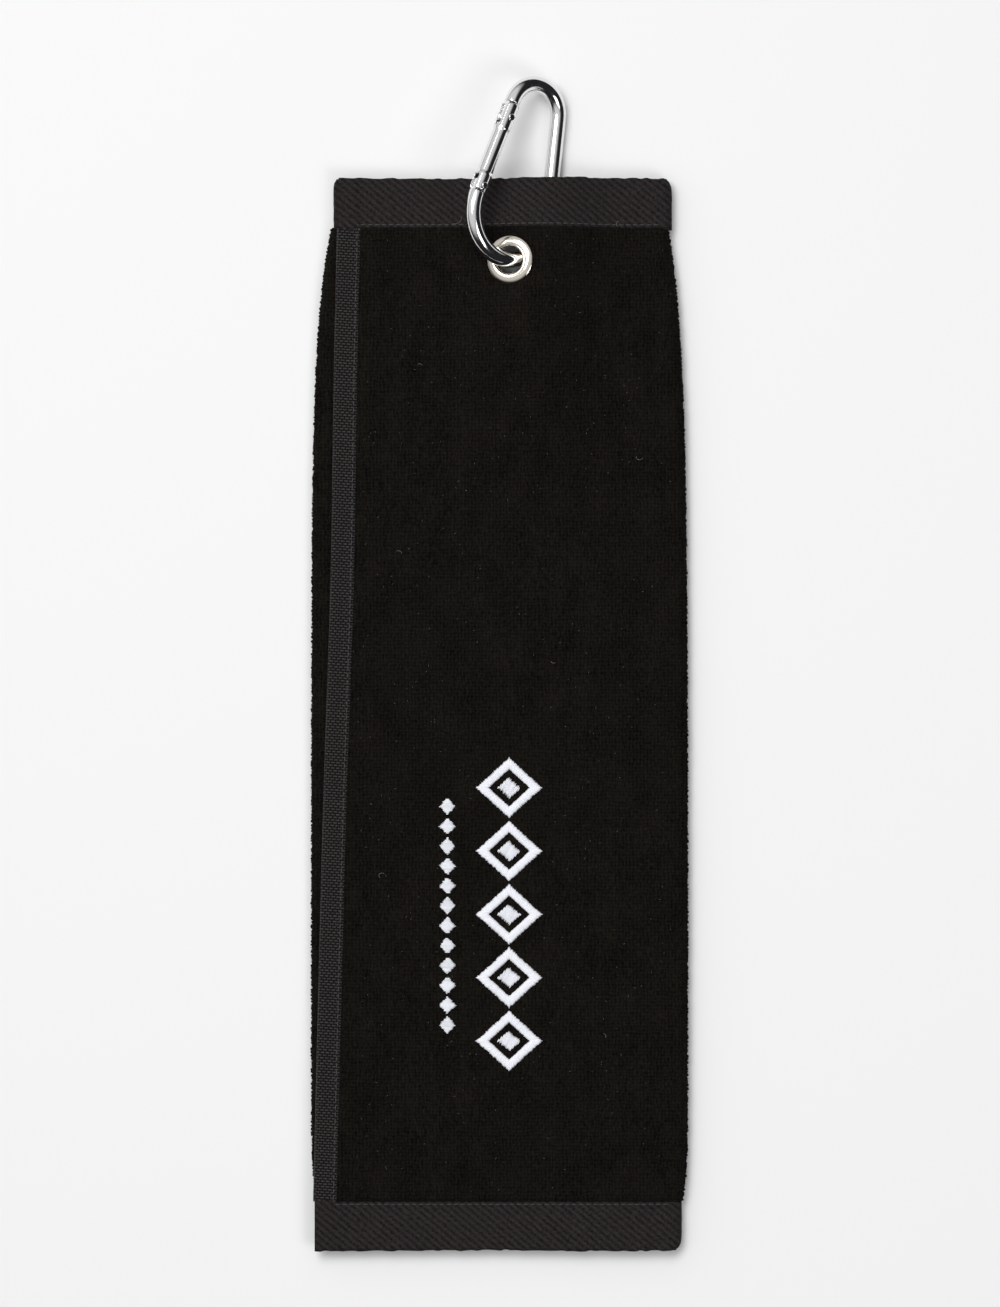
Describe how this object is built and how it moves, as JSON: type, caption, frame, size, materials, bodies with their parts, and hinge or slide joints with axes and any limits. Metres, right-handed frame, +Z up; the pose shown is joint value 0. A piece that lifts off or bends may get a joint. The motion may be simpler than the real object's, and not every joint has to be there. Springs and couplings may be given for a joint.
{
  "type": "golf towel",
  "caption": "Velour golf towel folded in thirds, with woven end bands, bound edges and a snap-gate carabiner clipped through a metal eyelet.",
  "frame": {"origin": "centre of the folded towel's flat underside, on the surface it lies on", "axes": "+Y along the towel towards the eyelet and carabiner, +X to the right seen from above, +Z up out of the front flap"},
  "size_m": [0.14, 0.4379, 0.0275],
  "materials": {
    "velour": "black cotton velour pile",
    "band_twill": "black flat woven twill",
    "binding_tape": "black ribbed tape",
    "seam_thread": "black sewing thread",
    "embroidery_thread": "white satin embroidery thread",
    "nickel": "polished nickel",
    "polished_rod": "polished plated rod",
    "spring_steel": "bright spring steel"
  },
  "bodies": {
    "towel": {"velour_cloth": "velour", "top_band": "band_twill", "bottom_band": "band_twill", "front_binding": "binding_tape", "inner_binding": "binding_tape", "top_band_stitching": "seam_thread", "bottom_band_stitching": "seam_thread", "front_binding_stitching": "seam_thread", "inner_binding_stitching": "seam_thread", "embroidery_motif": "embroidery_thread", "embroidery_line": "embroidery_thread", "eyelet": "nickel", "eyelet_washer": "nickel"},
    "clip": {"carabiner_body": "polished_rod"},
    "gate": {"carabiner_gate": "polished_rod", "gate_hinge_pin": "polished_rod", "gate_latch_pin": "polished_rod", "gate_plunger": "spring_steel", "gate_spring": "spring_steel"}
  },
  "joints": [
    {"name": "clip_swivel", "type": "hinge", "parent": "towel", "child": "clip", "pos_m": [0.0041, 0.1693, 0.01236], "axis": [0, 0, 1], "range_deg": [-10, 10]},
    {"name": "gate_hinge", "type": "hinge", "parent": "clip", "child": "gate", "pos_m": [0.00234, 0.22176, 0.01794], "axis": [0.6124, -0.0633, 0.788], "range_deg": [0, 22], "stiffness_Nm_per_rad": 0.06, "springref_deg": -28.65}
  ]
}
